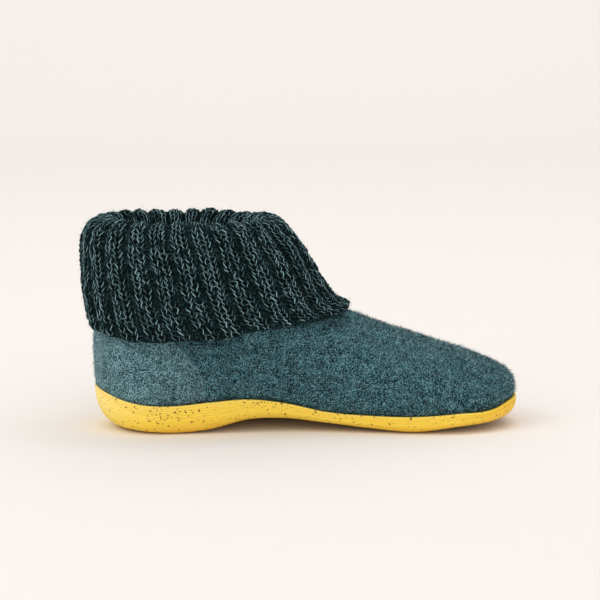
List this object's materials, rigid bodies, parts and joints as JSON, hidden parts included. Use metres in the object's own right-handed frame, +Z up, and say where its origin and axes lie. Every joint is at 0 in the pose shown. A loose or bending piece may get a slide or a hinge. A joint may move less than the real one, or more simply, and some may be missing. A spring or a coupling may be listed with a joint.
{
  "type": "slipper boot",
  "caption": "Ankle-high felt slipper boot for the left foot, with a moulded rubber cup sole, a heel counter and a turned-down rib-knit cuff.",
  "frame": {"origin": "middle of the floor rectangle under the shoe", "axes": "+X from the heel to the toe, -Y the inner side of the foot, +Y its outer side, +Z up"},
  "size_m": [0.2694, 0.0958, 0.1316],
  "materials": {
    "sole_rubber": "matt yellow moulded rubber with small dark cork specks",
    "footbed_felt": "grey wool felt",
    "boiled_wool": "heathered teal boiled wool with a short nap",
    "counter_felt": "smoother, paler teal wool felt",
    "rib_knit": "dark green-black chunky two-by-two rib knit with pale flecks"
  },
  "bodies": {
    "root": {"outsole": "sole_rubber", "insole": "footbed_felt", "upper": "boiled_wool", "heel_counter": "counter_felt", "cuff": "rib_knit"}
  },
  "joints": []
}
